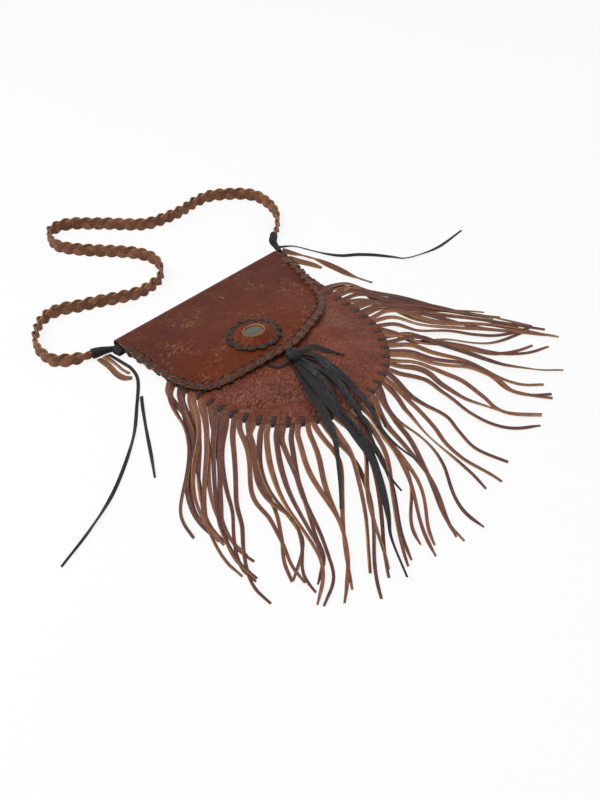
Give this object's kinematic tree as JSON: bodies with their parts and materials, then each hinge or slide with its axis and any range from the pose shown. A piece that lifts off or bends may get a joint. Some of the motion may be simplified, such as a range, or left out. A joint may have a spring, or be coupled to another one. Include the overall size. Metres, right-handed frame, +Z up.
{
  "type": "fringed leather bag",
  "caption": "Small shoulder bag of brown leather with laced edges, a fold-over flap, a braided strap and a long cut fringe round its seam, lying flat on its back.",
  "frame": {"origin": "on the surface the bag lies on, under the middle of the back panel", "axes": "+X along the top fold, to the wearer's right when seen from above; +Y from the round bottom to the fold; +Z up, out of the front of the bag"},
  "size_m": [0.6077, 0.6179, 0.028],
  "materials": {
    "panel_leather": "pebbled grain, satin",
    "flap_leather": "smooth waxed grain, creased",
    "fringe_leather": "cut strips, matt edges",
    "strap_leather": "braided strips, satin",
    "dark_lace": "flat dark lace, satin",
    "mirror_glass": "old mirror glass"
  },
  "bodies": {
    "pouch": {"back_panel": "panel_leather", "front_panel": "panel_leather", "fringe": "fringe_leather", "seam_lace": "dark_lace", "corner_loop_left": "dark_lace", "corner_loop_right": "dark_lace", "strap": "strap_leather", "lashing_left": "dark_lace", "lashing_right": "dark_lace", "lace_tail_left_long": "dark_lace", "lace_tail_left_short": "dark_lace", "lace_tail_right": "dark_lace", "strand_tail_left_outer": "strap_leather", "strand_tail_left_inner": "strap_leather", "strand_tail_right_outer": "strap_leather", "strand_tail_right_inner": "strap_leather"},
    "flap": {"flap": "flap_leather", "flap_lace": "dark_lace", "rosette_disc": "flap_leather", "rosette_lace": "dark_lace", "mirror": "mirror_glass", "tassel_knot": "dark_lace", "tassel_lace": "dark_lace", "tassel_thong_01": "dark_lace", "tassel_thong_02": "dark_lace", "tassel_thong_03": "dark_lace", "tassel_thong_04": "dark_lace", "tassel_thong_05": "dark_lace", "tassel_thong_06": "dark_lace", "tassel_thong_07": "dark_lace", "tassel_thong_08": "dark_lace"}
  },
  "joints": [
    {"name": "flap_hinge", "type": "hinge", "parent": "pouch", "child": "flap", "pos_m": [0, 0.11155, 0.0047], "axis": [-1, 0, 0], "range_deg": [0, 150]}
  ]
}
